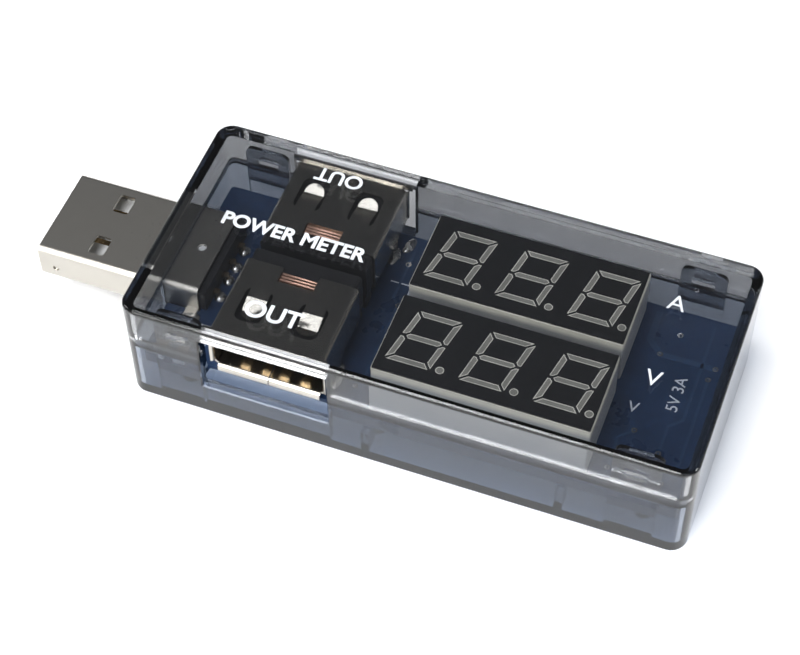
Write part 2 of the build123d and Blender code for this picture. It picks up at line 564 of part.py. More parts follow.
def build_display(name, place):
    """One three-digit display: housing, black face, translucent segments, pins."""
    middle = Plane(origin=(CASE_X + place[0], place[1], 0))
    digit_places = [(DIGITS_SHIFT + step * DIGIT_PITCH, 0) for step in (-1, 0, 1)]

    with BuildPart() as housing:
        with BuildSketch(middle.offset(BOARD_TOP)):
            Rectangle(DISPLAY_LENGTH, DISPLAY_WIDTH)
        extrude(amount=DISPLAY_HEIGHT - FACE_THICKNESS)
        fillet(housing.edges().filter_by(Axis.Z), HOUSING_CORNER)
    save(housing.part, f"{name}_display_housing")

    with BuildPart() as face:
        with BuildSketch(middle.offset(FACE_TOP - FACE_THICKNESS)):
            Rectangle(DISPLAY_LENGTH - 2 * FACE_MARGIN, DISPLAY_WIDTH - 2 * FACE_MARGIN)
            with Locations(*digit_places):
                add(digit_segments(), mode=Mode.SUBTRACT)
        extrude(amount=FACE_THICKNESS)
    save(face.part, f"{name}_display_face")

    with BuildPart() as segments:
        with BuildSketch(middle.offset(FACE_TOP - FACE_THICKNESS)):
            with Locations(*digit_places):
                add(digit_segments())
        extrude(amount=FACE_THICKNESS - SEGMENT_SINK)
    save(segments.part, f"{name}_display_segments")

    with BuildPart() as pins:
        with BuildSketch(middle.offset(TAIL_END)):
            with GridLocations(PIN_PITCH, PIN_ROWS, PINS_IN_ROW, 2):
                Rectangle(*PIN_SECTION)
        extrude(amount=BOARD_TOP - TAIL_END)
    save(pins.part, f"{name}_display_pins")


for display_name, display_place in DISPLAY_PLACES.items():
    build_display(display_name, display_place)

# ---------------------------------------------------------------- small parts on the board

LEAD_FOOT, LEAD_THICKNESS = 0.55, 0.15
STANDOFF = 0.1
SHUNT_PLACE, SHUNT_SIZE, SHUNT_TERMINAL = (-24.0, 8.6), (3.2, 6.3, 0.6), 1.0
RESISTOR_SIZE, RESISTOR_TERMINAL = (0.8, 1.6, 0.45), 0.3
CAPACITOR_SIZE, CAPACITOR_TERMINAL = (1.25, 2.0, 1.0), 0.4
TERMINAL_WRAP = 0.03
# places are measured from the middle of the case; those above the board sit beside the plug
RESISTORS_ABOVE = ((-28.7, -8.8), (-27.2, -8.8), (-25.7, -8.8))
RESISTORS_BELOW = (
    (20.0, -2.2), (20.0, 0.2), (20.0, 2.6), (17.4, -2.2), (17.4, 0.2), (17.4, 2.6),
    (-6.4, -3.6), (-4.6, -3.6),
)
CAPACITORS_ABOVE = ((-28.4, -10.9), (-25.9, -10.9))
CAPACITORS_BELOW = ((20.0, 6.0), (20.0, -6.0), (-8.0, 3.6), (-1.2, 3.6))
# name: place, body (x, y, height), lead pitch, leads on each side, lead width
CHIPS = {
    "microcontroller": ((25.3, 0.0), (4.4, 6.5, 1.0), 0.65, 10, 0.24),
    "regulator": ((-4.6, 3.6), (1.6, 2.9, 1.1), 0.95, 3, 0.4),
}


def build_chip(name, place, body_size, pitch, count, lead_width):
    """A chip under the board: moulded body and gull-wing leads along both long sides."""
    body_x, body_y, body_height = body_size
    centre = (CASE_X + place[0], place[1])

    with BuildPart() as body:
        with Locations((*centre, BOARD_BOTTOM - STANDOFF)):
            Box(body_x, body_y, body_height, align=(Align.CENTER, Align.CENTER, Align.MAX))
        chamfer(body.edges().group_by(Axis.Z)[0], STANDOFF)
    save(body.part, f"{name}_body")

    with BuildPart() as lead:
        root = body_x / 2
        middle = BOARD_BOTTOM - STANDOFF - body_height / 2
        with BuildSketch(Plane.XZ):
            with BuildLine():
                Polyline(
                    (root, middle),
                    (root + LEAD_FOOT, middle),
                    (root + LEAD_FOOT, BOARD_BOTTOM - LEAD_THICKNESS),
                    (root + 2 * LEAD_FOOT, BOARD_BOTTOM - LEAD_THICKNESS),
                    (root + 2 * LEAD_FOOT, BOARD_BOTTOM),
                    (root + LEAD_FOOT - LEAD_THICKNESS, BOARD_BOTTOM),
                    (root + LEAD_FOOT - LEAD_THICKNESS, middle + LEAD_THICKNESS),
                    (root, middle + LEAD_THICKNESS),
                    close=True,
                )
            make_face()
        extrude(amount=lead_width / 2, both=True)

    with BuildPart() as leads:
        for turn in (0, 180):
            with Locations(Location((*centre, 0), (0, 0, turn))):
                with GridLocations(0, pitch, 1, count):
                    add(lead.part)
    save(leads.part, f"{name}_leads")


def build_terminal_parts(name, size, terminal, above, below):
    """Two-terminal chip parts: bodies in one node, their end caps in another. They lie along Y."""
    x, y, height = size
    bodies_and_caps = []
    for length, swell, cap_places in ((y - 2 * terminal, 0, (0,)), (terminal, TERMINAL_WRAP, (-1, 1))):
        with BuildPart() as pieces:
            for places, level, align in (
                (above, BOARD_TOP, Align.MIN), (below, BOARD_BOTTOM, Align.MAX),
            ):
                for place in places:
                    for towards in cap_places:
                        shift = towards * (y - terminal) / 2
                        with Locations((CASE_X + place[0], place[1] + shift, level)):
                            Box(
                                x + 2 * swell, length, height + swell,
                                align=(Align.CENTER, Align.CENTER, align),
                            )
        bodies_and_caps.append(pieces.part)
    save(bodies_and_caps[0], f"{name}_body")
    save(bodies_and_caps[1], f"{name}_terminals")


for chip_name, chip_values in CHIPS.items():
    build_chip(chip_name, *chip_values)

build_terminal_parts("shunt_resistor", SHUNT_SIZE, SHUNT_TERMINAL, (), (SHUNT_PLACE,))
build_terminal_parts("small_resistors", RESISTOR_SIZE, RESISTOR_TERMINAL, RESISTORS_ABOVE, RESISTORS_BELOW)
build_terminal_parts(
    "small_capacitors", CAPACITOR_SIZE, CAPACITOR_TERMINAL, CAPACITORS_ABOVE, CAPACITORS_BELOW
)
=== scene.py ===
"""Looks of the USB power meter: studio, camera, materials, and the pieces that are only drawn."""
import math

import bmesh
import bpy
from mathutils import Matrix, Vector, noise


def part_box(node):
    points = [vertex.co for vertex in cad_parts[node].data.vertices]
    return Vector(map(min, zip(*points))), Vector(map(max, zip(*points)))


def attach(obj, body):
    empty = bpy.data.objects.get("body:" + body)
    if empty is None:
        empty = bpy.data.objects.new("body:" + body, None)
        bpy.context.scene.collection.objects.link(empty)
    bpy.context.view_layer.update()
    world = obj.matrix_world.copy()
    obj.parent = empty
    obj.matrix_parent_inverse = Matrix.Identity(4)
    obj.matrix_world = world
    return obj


MM = 0.001

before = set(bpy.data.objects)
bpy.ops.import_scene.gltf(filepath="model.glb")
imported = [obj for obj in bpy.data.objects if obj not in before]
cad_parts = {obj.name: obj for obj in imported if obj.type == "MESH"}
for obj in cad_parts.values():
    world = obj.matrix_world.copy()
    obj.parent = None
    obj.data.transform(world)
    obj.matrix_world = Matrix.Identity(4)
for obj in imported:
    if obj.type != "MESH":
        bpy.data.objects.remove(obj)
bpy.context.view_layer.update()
scene = bpy.context.scene
scene.view_settings.view_transform = "Standard"
scene.view_settings.look = "None"

# ---------------------------------------------------------------- places read from the frame, in millimetres


def middle_x(name):
    low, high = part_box(name)
    return (low[0] + high[0]) / 2 / MM


CASE_X = middle_x("base_shell")
PORT_X = middle_x("front_port_shell")
BOARD_BOTTOM, BOARD_TOP = (corner[2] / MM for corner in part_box("circuit_board"))
LID_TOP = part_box("top_cover")[1][2] / MM
FACE_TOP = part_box("voltage_display_face")[1][2] / MM
CASE_MIDDLE = Vector((CASE_X, 0, 0)) * MM  # in metres, on the floor

# ---------------------------------------------------------------- camera

AZIMUTH, ELEVATION, ROLL = math.radians(21.10), math.radians(52.66), math.radians(-0.926)
CAMERA_SHIFT = Vector((-4.775, 4.803, 230.14)) * MM  # in the camera's own axes, from the middle of the case
LENS, SENSOR_WIDTH = 92.36, 36.0
NEAREST, FARTHEST = 0.01, 20  # metres

back = Vector((
    math.sin(AZIMUTH) * math.cos(ELEVATION), -math.cos(AZIMUTH) * math.cos(ELEVATION), math.sin(ELEVATION)
))
level = Vector((math.cos(AZIMUTH), math.sin(AZIMUTH), 0))
upright = back.cross(level)
across = math.cos(ROLL) * level + math.sin(ROLL) * upright
upward = -math.sin(ROLL) * level + math.cos(ROLL) * upright
turn = Matrix((across, upward, back)).transposed()

camera = bpy.data.objects.new("camera", bpy.data.cameras.new("camera"))
scene.collection.objects.link(camera)
camera.data.lens = LENS
camera.data.sensor_width = SENSOR_WIDTH
camera.data.clip_start, camera.data.clip_end = NEAREST, FARTHEST
camera.matrix_world = Matrix.Translation(CASE_MIDDLE + turn @ CAMERA_SHIFT) @ turn.to_4x4()
scene.camera = camera

# ---------------------------------------------------------------- node helpers


def new_material(name):
    """An empty node material and its output node."""
    mat = bpy.data.materials.new(name)
    mat.use_nodes = True
    mat.node_tree.nodes.clear()
    return mat, mat.node_tree.nodes.new("ShaderNodeOutputMaterial")


def node(mat, kind, **settings):
    """Add a node; settings named in_X fill input sockets (by name or index), the others are attributes."""
    n = mat.node_tree.nodes.new(kind)
    for key, value in settings.items():
        if not key.startswith("in_"):
            setattr(n, key, value)
    for key, value in settings.items():
        if key.startswith("in_"):
            name = key[3:].replace("_", " ")
            socket = n.inputs[int(name)] if name.isdigit() else n.inputs[name]
            if isinstance(value, bpy.types.NodeSocket):
                mat.node_tree.links.new(value, socket)
            else:
                socket.default_value = value
    return n


def rgb(*values):
    return (*values, 1.0)


def deeper(colour, share):
    return rgb(*[value * share for value in colour])


def place(mat):
    """Object coordinates: the frame's own, in metres, riding with the piece."""
    return node(mat, "ShaderNodeTexCoord").outputs["Object"]


def stretched(mat, scale):
    return node(mat, "ShaderNodeMapping", in_Vector=place(mat), in_Scale=scale).outputs[0]


def noise_value(mat, scale, detail=3.0, rough=0.5, vector=None):
    """Noise with features of about 1/scale metres."""
    return node(
        mat, "ShaderNodeTexNoise", in_Vector=vector or place(mat), in_Scale=scale, in_Detail=detail,
        in_Roughness=rough,
    ).outputs["Fac"]


def ranged(mat, value, low, high, to_low, to_high):
    return node(
        mat, "ShaderNodeMapRange", in_Value=value, in_1=low, in_2=high, in_3=to_low, in_4=to_high
    ).outputs[0]


def mixed(mat, factor, a, b):
    """Mix two colours by a factor socket."""
    n = node(mat, "ShaderNodeMix", data_type="RGBA")
    links = mat.node_tree.links
    for index, value in ((0, factor), (6, a), (7, b)):
        if isinstance(value, bpy.types.NodeSocket):
            links.new(value, n.inputs[index])
        else:
            n.inputs[index].default_value = value
    return n.outputs[2]


def maths(mat, operation, a, b):
    return node(mat, "ShaderNodeMath", operation=operation, in_0=a, in_1=b).outputs[0]


def bumped(mat, height, distance, strength=1.0):
    n = node(mat, "ShaderNodeBump", in_Height=height, in_Distance=distance, in_Strength=strength)
    return n.outputs[0]


def finish(mat, out, shader, volume=None):
    mat.node_tree.links.new(shader, out.inputs["Surface"])
    if volume is not None:
        mat.node_tree.links.new(volume, out.inputs["Volume"])
    return mat


# ---------------------------------------------------------------- kinds of material

PLASTIC_IOR = 1.52
GRAIN, CLOUD = 1500, 300  # features per metre of fine grain and of broad unevenness
GRAIN_DEPTH = 0.004 * MM
GLOSS_SPREAD = 0.03


def smoke_plastic(name, tint, absorb, density, shade):
    """Glossy translucent plastic, tinted at its skin and in its thickness; lamps reach what is inside."""
    mat, out = new_material(name)
    smudge = noise_value(mat, 140, 4, 0.6)
    wave = noise_value(mat, 60, 1, 0.4)
    solid = node(
        mat, "ShaderNodeBsdfPrincipled", in_Base_Color=tint, in_Transmission_Weight=1.0, in_IOR=PLASTIC_IOR,
        in_Roughness=ranged(mat, smudge, 0.35, 0.75, 0.0, 0.018),
        in_Normal=bumped(mat, wave, 0.01 * MM, 0.03),
    )
    clear = node(mat, "ShaderNodeBsdfTransparent", in_Color=rgb(*shade))
    to_lamp = node(mat, "ShaderNodeLightPath").outputs["Is Shadow Ray"]
    both = node(mat, "ShaderNodeMixShader", in_0=to_lamp, in_1=solid.outputs[0], in_2=clear.outputs[0])
    volume = node(mat, "ShaderNodeVolumeAbsorption", in_Color=absorb, in_Density=density)
    return finish(mat, out, both.outputs[0], volume.outputs[0])


def plain(name, colour, roughness, grain=GRAIN, depth=GRAIN_DEPTH):
    """An opaque plastic, ceramic or print with fine grain and slightly uneven colour and gloss."""
    mat, out = new_material(name)
    fine = noise_value(mat, grain, 4, 0.6)
    broad = noise_value(mat, CLOUD, 3, 0.5)
    unevenness = ranged(mat, broad, 0.3, 0.7, 0, 1)
    solid = node(
        mat, "ShaderNodeBsdfPrincipled",
        in_Base_Color=mixed(mat, unevenness, rgb(*colour), deeper(colour, 0.82)),
        in_Roughness=ranged(mat, fine, 0.3, 0.7, roughness - GLOSS_SPREAD, roughness + GLOSS_SPREAD),
        in_Normal=bumped(mat, fine, depth),
    )
    return finish(mat, out, solid.outputs[0])


def display_plastic_painted_shade(name, rim_colour, painted_shade_colour, roughness, shade_fade):
    """Moulded plastic, cream round its rim, with painted shade that greys its sides lower down; the last
    argument is two heights in metres between which the painted shade fades out.
    """
    mat, out = new_material(name)
    height = node(mat, "ShaderNodeSeparateXYZ", in_0=place(mat)).outputs["Z"]
    fine = noise_value(mat, GRAIN, 4, 0.6)
    cloud = noise_value(mat, CLOUD, 3, 0.5)
    # painted shade: below the lower height the sides take the grey colour in place of the shadow round the
    # housing, turning cream by the upper height; random tone is added on top
    share = maths(mat, "ADD", ranged(mat, height, *shade_fade, 0, 1), ranged(mat, cloud, 0.3, 0.7, -0.12, 0.12))
    solid = node(
        mat, "ShaderNodeBsdfPrincipled", in_Base_Color=mixed(mat, share, rgb(*painted_shade_colour), rgb(*rim_colour)),
        in_Roughness=ranged(mat, fine, 0.3, 0.7, roughness - GLOSS_SPREAD, roughness + GLOSS_SPREAD),
        in_Normal=bumped(mat, fine, GRAIN_DEPTH),
    )
    return finish(mat, out, solid.outputs[0])


def metal(name, colour, roughness, spread, brush=(2500, 2500, 2500), depth=0.002 * MM):
    """Plated metal: fine lines along the axis of the lowest brush value, faint blotches, uneven gloss."""
    mat, out = new_material(name)
    lines = noise_value(mat, 1.0, 3, 0.6, vector=stretched(mat, brush))
    blotch = noise_value(mat, 160, 2, 0.5)
    rough = maths(
        mat, "ADD", ranged(mat, blotch, 0.2, 0.8, roughness - spread / 2, roughness + spread / 2),
        ranged(mat, lines, 0.3, 0.7, -spread / 2, spread / 2),
    )
    tarnish = ranged(mat, blotch, 0.35, 0.8, 0, 1)
    solid = node(
        mat, "ShaderNodeBsdfPrincipled", in_Metallic=1.0,
        in_Base_Color=mixed(mat, tarnish, rgb(*colour), deeper(colour, 0.88)),
        in_Roughness=rough, in_Normal=bumped(mat, lines, depth),
    )
    return finish(mat, out, solid.outputs[0])


def solder_mask(name, colour):
    """Glossy solder mask that shows a hint of the glass weave under it."""
    mat, out = new_material(name)
    threads = [
        node(
            mat, "ShaderNodeTexWave", wave_type="BANDS", bands_direction=axis, in_Vector=place(mat),
            in_Scale=260, in_Distortion=0.6, in_Detail=1.0,
        ).outputs["Fac"]
        for axis in ("X", "Y")
    ]
    weave = maths(mat, "MULTIPLY", *threads)
    cloud = noise_value(mat, 250, 3, 0.5)
    tone = maths(mat, "ADD", ranged(mat, weave, 0, 1, 0, 0.25), ranged(mat, cloud, 0.3, 0.7, 0, 0.75))
    solid = node(
        mat, "ShaderNodeBsdfPrincipled", in_Base_Color=mixed(mat, tone, deeper(colour, 0.7), rgb(*colour)),
        in_Roughness=ranged(mat, cloud, 0.3, 0.7, 0.26, 0.36), in_Normal=bumped(mat, weave, 0.0015 * MM),
    )
    return finish(mat, out, solid.outputs[0])


# ---------------------------------------------------------------- the materials

case_base = smoke_plastic(
    "smoke_base", tint=rgb(0.335, 0.37, 0.43), absorb=rgb(0.02, 0.14, 0.30), density=90,
    shade=(0.86, 0.88, 0.91),
)
case_cover = smoke_plastic(
    "smoke_cover", tint=rgb(0.49, 0.497, 0.51), absorb=rgb(0.07, 0.09, 0.12), density=85,
    shade=(0.90, 0.91, 0.93),
)
plug_steel = metal("plug_nickel", (0.56, 0.535, 0.485), 0.30, 0.04, brush=(2500, 9000, 9000))
port_steel = metal("port_nickel", (0.60, 0.57, 0.51), 0.20, 0.04, brush=(9000, 2500, 9000))
gold = metal("contact_gold", (0.78, 0.61, 0.40), 0.24, 0.05)
tin = metal("pin_tin", (0.78, 0.78, 0.76), 0.3, 0.08)
copper = metal("spring_copper", (0.50, 0.30, 0.22), 0.32, 0.05)
solder = metal("solder", (0.74, 0.73, 0.71), 0.24, 0.08, brush=(900, 900, 900), depth=0.012 * MM)
plug_nylon = plain("plug_nylon", (0.62, 0.63, 0.63), 0.42)
cap_nylon = plain("cap_nylon", (0.012, 0.012, 0.014), 0.42)
port_nylon = plain("port_nylon", (0.012, 0.012, 0.013), 0.4)
# the display housings carry painted shade: their sides are painted grey below the rim in place of the shadow
# in the gaps round them
housing = display_plastic_painted_shade(
    "display_housing", (0.74, 0.71, 0.60), (0.36, 0.37, 0.37), 0.42,
    shade_fade=((FACE_TOP - 1.5) * MM, (FACE_TOP - 0.7) * MM),
)
face = plain("display_face", (0.0035, 0.0038, 0.005), 0.45, grain=5000, depth=0.001 * MM)
segments = plain("display_segments", (0.25, 0.245, 0.215), 0.35, grain=4000, depth=0.002 * MM)
segment_rim = plain("segment_rim", (0.76, 0.74, 0.65), 0.3, grain=4000, depth=0.001 * MM)
board_mask = solder_mask("solder_mask", (0.014, 0.034, 0.082))
copper_mask = solder_mask("solder_mask_on_copper", (0.024, 0.054, 0.113))
chip = plain("chip_epoxy", (0.018, 0.018, 0.02), 0.55)
resistor = plain("resistor_coat", (0.02, 0.02, 0.022), 0.25)
capacitor = plain("capacitor_ceramic", (0.28, 0.18, 0.10), 0.4)
ink = plain("white_ink", (0.86, 0.88, 0.9), 0.5)
silkscreen = plain("silkscreen", (0.62, 0.66, 0.72), 0.6)

finishes = {
    "base_shell": case_base, "top_cover": case_cover, "circuit_board": board_mask,
    "plug_shell": plug_steel, "plug_contacts": gold,
    "plug_insulator": plug_nylon, "plug_rear_cap": cap_nylon,
    "microcontroller_body": chip, "microcontroller_leads": tin,
    "regulator_body": chip, "regulator_leads": tin,
    "shunt_resistor_body": resistor, "shunt_resistor_terminals": tin,
    "small_resistors_body": resistor, "small_resistors_terminals": tin,
    "small_capacitors_body": capacitor, "small_capacitors_terminals": tin,
}
for port in ("front_port", "back_port"):
    finishes.update({f"{port}_shell": port_steel, f"{port}_contacts": gold, f"{port}_insulator": port_nylon})
for display in ("current_display", "voltage_display"):
    finishes.update({
        f"{display}_housing": housing, f"{display}_face": face,
        f"{display}_segments": segments, f"{display}_pins": tin,
    })
for name, finish_of_node in finishes.items():
    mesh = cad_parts[name].data
    mesh.materials.clear()
    mesh.materials.append(finish_of_node)

# ---------------------------------------------------------------- drawing helpers, in millimetres

WOBBLE_SCALE = 1.7
FULL_CIRCLE = 2 * math.pi


def mesh_piece(name, bm, mat, body="meter", smooth=True):
    """Turn a bmesh drawn in millimetres into a piece that rides on a body."""
    bmesh.ops.scale(bm, vec=(MM, MM, MM), verts=bm.verts)
    bmesh.ops.recalc_face_normals(bm, faces=bm.faces)
    mesh = bpy.data.meshes.new(name)
    bm.to_mesh(mesh)
    bm.free()
    mesh.materials.append(mat)
    for polygon in mesh.polygons:
        polygon.use_smooth = smooth
    piece = bpy.data.objects.new(name, mesh)
    scene.collection.objects.link(piece)
    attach(piece, body)


def lathe(bm, centre, profile, steps=20, squash=(1, 1), turn=0.0, wobble=0.0):
    """Revolve (radius, height) points about an upright axis; wobble makes the surface uneven."""
    rings = []
    for radius, height in profile:
        ring = []
        for step in range(steps):
            angle = FULL_CIRCLE * step / steps
            x, y = radius * squash[0] * math.cos(angle), radius * squash[1] * math.sin(angle)
            x, y = x * math.cos(turn) - y * math.sin(turn), x * math.sin(turn) + y * math.cos(turn)
            sample = Vector((centre[0] + x, centre[1] + y, height)) * WOBBLE_SCALE
            shake = 1 + wobble * noise.noise(sample)
            corner = (centre[0] + x * shake, centre[1] + y * shake, centre[2] + height * shake)
            ring.append(bm.verts.new(corner))
        rings.append(ring)
    for low, high in zip(rings, rings[1:]):
        for step in range(steps):
            bm.faces.new((low[step], low[step - 1], high[step - 1], high[step]))
    bm.faces.new(rings[-1])
    bm.faces.new(list(reversed(rings[0])))


def ribbon(bm, points, width, low, high):
    """A flat strip of the given width along a line of points, mitred at its bends."""
    line = [Vector(p) for p in points]
    left, right = [], []
    for index, point in enumerate(line):
        before = (point - line[index - 1]).normalized() if index else (line[1] - point).normalized()
        after = (line[index + 1] - point).normalized() if index + 1 < len(line) else before
        normal = Vector((-before.y - after.y, before.x + after.x)).normalized()
        reach = width / 2 / max(0.5, normal.dot(Vector((-before.y, before.x))))
        left.append(point + normal * reach)
        right.append(point - normal * reach)
    border = left + right[::-1]
    bottom = [bm.verts.new((p.x, p.y, low)) for p in border]
    top = [bm.verts.new((p.x, p.y, high)) for p in border]
    count = len(line)
    for index in range(count - 1):
        mirror = 2 * count - 1 - index
        bm.faces.new((top[index], top[index + 1], top[mirror - 1], top[mirror]))
        bm.faces.new((bottom[index], bottom[mirror], bottom[mirror - 1], bottom[index + 1]))
    for index in range(2 * count):
        bm.faces.new((bottom[index - 1], bottom[index], top[index], top[index - 1]))


def circle_line(centre, radius, steps=16):
    turns = [FULL_CIRCLE * step / steps for step in range(steps + 1)]
    return [(centre[0] + radius * math.cos(angle), centre[1] + radius * math.sin(angle)) for angle in turns]


def rectangle_line(centre, size):
    x, y = size[0] / 2, size[1] / 2
    signs = ((-1, -1), (1, -1), (1, 1), (-1, 1), (-1, -1))
    return [(centre[0] + a * x, centre[1] + b * y) for a, b in signs]


# ---------------------------------------------------------------- lettering on the lid

CAPITAL_SHARE = 0.729  # capital height of the built-in font, as a share of its size
INK_HALF_THICKNESS = 0.008
LID_PRINT = LID_TOP - 0.015  # just under the lid's top, so that the print stays inside its box


def lettering(name, text, centre, height, mat, angle=0.0, bold=0.0, body="cover", z=LID_PRINT):
    """Flat print of the given capital height; its centre is counted from the middle of the case."""
    curve = bpy.data.curves.new(name, "FONT")
    curve.body = text
    curve.align_x, curve.align_y = "CENTER", "CENTER"
    curve.size = height / CAPITAL_SHARE * MM
    curve.offset = bold * MM
    curve.extrude = INK_HALF_THICKNESS * MM
    curve.materials.append(mat)
    piece = bpy.data.objects.new(name, curve)
    scene.collection.objects.link(piece)
    piece.location = Vector((centre[0] + CASE_X, centre[1], z)) * MM
    piece.rotation_euler = (0, 0, math.radians(angle))
    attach(piece, body)


lettering("print_out_back", "OUT", (-16.05, 10.7), 1.9, ink, angle=180, bold=0.05)
lettering("print_title", "POWER METER", (-17.75, 1.1), 1.8, ink, bold=0.08)
lettering("print_out_front", "OUT", (-15.7, -9.6), 2.2, ink, bold=0.07)
lettering("print_amps", "A", (23.9, 6.35), 2.1, ink)
lettering("print_volts", "V", (24.24, -3.92), 2.1, ink)

# ---------------------------------------------------------------- light rims of the display segments

RIM_WIDTH, RIM_RISE = 0.09, 0.012
FACING_UP = 0.9  # least upward part of a top's normal
SAME_POINT = 0.0005
SAME_PLANE = 0.02  # radians


def segment_rims(display):
    """The tops of the CAD segments, inset; only the inset band is kept, a little raised."""
    bm = bmesh.new()
    bm.from_mesh(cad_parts[f"{display}_display_segments"].data)
    bmesh.ops.scale(bm, vec=(1 / MM, 1 / MM, 1 / MM), verts=bm.verts)
    bmesh.ops.delete(bm, geom=[f for f in bm.faces if f.normal.z <= FACING_UP], context="FACES")
    bmesh.ops.remove_doubles(bm, verts=bm.verts, dist=SAME_POINT)
    bmesh.ops.dissolve_limit(bm, angle_limit=SAME_PLANE, verts=bm.verts, edges=bm.edges)
    tops = list(bm.faces)
    bmesh.ops.inset_region(bm, faces=tops, thickness=RIM_WIDTH, use_boundary=True, use_even_offset=True)
    bmesh.ops.delete(bm, geom=tops, context="FACES")
    extruded = bmesh.ops.extrude_face_region(bm, geom=list(bm.faces))["geom"]
    raised = [item for item in extruded if isinstance(item, bmesh.types.BMVert)]
    bmesh.ops.translate(bm, vec=(0, 0, RIM_RISE), verts=raised)
    mesh_piece(f"{display}_segment_rims", bm, segment_rim, smooth=False)


for display in ("current", "voltage"):
    segment_rims(display)

# ---------------------------------------------------------------- sprung copper strips of the ports

SIDES = (("front", -1), ("back", 1))
STRIP_HALF_LENGTH, STRIP_BOTTOM, STRIP_BEVEL = 2.05, 12.87, 0.1
STRIP_NEAR, STRIP_DEPTH = 2.95, 1.43  # its start, from the meter's middle plane, and its reach from there
STRIP_STEPS = 48
RIDGE_HEIGHT, RIDGE_SWING, RIDGE_COUNT = 0.10, 0.05, 3.5
SHOULDER = 0.6  # height of a ridge's end, as a share of the ridge's
LIP_HEIGHT, LIP_SHARE = 0.16, 0.16  # raised lip at the front end: its height, and its share of the depth


def spring_strip(word, side):
    """A strip with rounded ridges across it, standing in the notch at the rear of a port's shell."""
    bm = bmesh.new()
    rows = []
    for step in range(STRIP_STEPS + 1):
        t = step / STRIP_STEPS
        y = side * (STRIP_NEAR + STRIP_DEPTH * t)
        from_front = t if side > 0 else 1 - t
        lip = LIP_HEIGHT * max(0.0, (LIP_SHARE - from_front) / LIP_SHARE)
        ridge = RIDGE_HEIGHT + RIDGE_SWING * math.cos(FULL_CIRCLE * RIDGE_COUNT * t) + lip
        half = (
            (STRIP_HALF_LENGTH, 0), (STRIP_HALF_LENGTH, ridge * SHOULDER),
            (STRIP_HALF_LENGTH - STRIP_BEVEL, ridge),
        )
        section = [(-x, z) for x, z in half] + [(x, z) for x, z in reversed(half)]
        rows.append([bm.verts.new((PORT_X + x, y, STRIP_BOTTOM + z)) for x, z in section])
    for before, after in zip(rows, rows[1:]):
        for index in range(len(before)):
            bm.faces.new((before[index - 1], before[index], after[index], after[index - 1]))
    bm.faces.new(rows[0])
    bm.faces.new(rows[-1])
    mesh_piece(f"{word}_port_spring_strip", bm, copper)


for word, side in SIDES:
    spring_strip(word, side)

# ---------------------------------------------------------------- solder

CONTACT_PLACES = (-3.5, -1.0, 1.0, 3.5)
PLUG_LEAD_X, PLUG_DOME_X, PLUG_LEG = -18.05, -17.9, (-20.1, 7.2)
LEG_DOME_SHIFT = (0.2, 0.1)  # of the domes at the plug's legs, along the board and outwards
LONE_JOINT = (-0.6, 10.6)
PORT_LEAD_Y, PORT_LEG = 1.0, (6.4, 8.6)
PIN_COUNT, PIN_PITCH, PIN_HALF_LENGTH, PIN_HALF_WIDTH = 6, 2.54, 0.25, 0.125
CONE = ((0.86, 0.0), (0.80, -0.10), (0.62, -0.22), (0.45, -0.42), (0.33, -0.68), (0.24, -0.84), (0.08, -0.92))
DOME = ((0.78, 0.0), (0.76, 0.08), (0.64, 0.22), (0.44, 0.36), (0.22, 0.44), (0.06, 0.46))

plug_legs = [(PLUG_LEG[0], side * PLUG_LEG[1]) for _, side in SIDES]
port_legs = [(PORT_X + end * PORT_LEG[0], side * PORT_LEG[1]) for end in (-1, 1) for _, side in SIDES]
leads = [(PLUG_LEAD_X, y) for y in CONTACT_PLACES]
leads += [(PORT_X + x, side * PORT_LEAD_Y) for x in CONTACT_PLACES for _, side in SIDES]
for display in ("current", "voltage"):
    low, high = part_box(f"{display}_display_pins")
    for column in range(PIN_COUNT):
        x = low[0] / MM + PIN_HALF_LENGTH + PIN_PITCH * column
        leads += [(x, low[1] / MM + PIN_HALF_WIDTH), (x, high[1] / MM - PIN_HALF_WIDTH)]

# a concave cone round every lead and leg under the board
bm = bmesh.new()
for x, y in leads:
    lathe(bm, (x, y, BOARD_BOTTOM), CONE, wobble=0.10)
for x, y in plug_legs + port_legs:
    lathe(bm, (x, y, BOARD_BOTTOM), CONE, squash=(1.25, 1.6), wobble=0.12)
mesh_piece("solder_underside", bm, solder)

# low domes above it at the plug's contacts, at the shells' legs and on one lone joint
bm = bmesh.new()
for y in CONTACT_PLACES:
    lathe(bm, (PLUG_DOME_X, y, BOARD_TOP), DOME, squash=(0.9, 1.0), wobble=0.15)
for x, y in plug_legs:
    middle = (x + LEG_DOME_SHIFT[0], y + math.copysign(LEG_DOME_SHIFT[1], y), BOARD_TOP)
    lathe(bm, middle, DOME, squash=(1.5, 1.1), wobble=0.2)
for x, y in port_legs:
    lathe(bm, (x, y, BOARD_TOP), DOME, squash=(0.9, 1.5), wobble=0.2)
lathe(bm, (*LONE_JOINT, BOARD_TOP), DOME, squash=(0.75, 1.6), turn=-0.25, wobble=0.15)
mesh_piece("solder_topside", bm, solder)

# ---------------------------------------------------------------- copper and print on the board

SUNK = 0.01  # how far copper reaches into the board
RUN_RISE, VIA_RISE, PRINT_RISE = 0.03, 0.045, 0.02
VIA_RADIUS, VIA_RING = 0.24, 0.16
TOP_LINE, UNDER_LINE = 0.16, 0.15  # widths of the printed lines
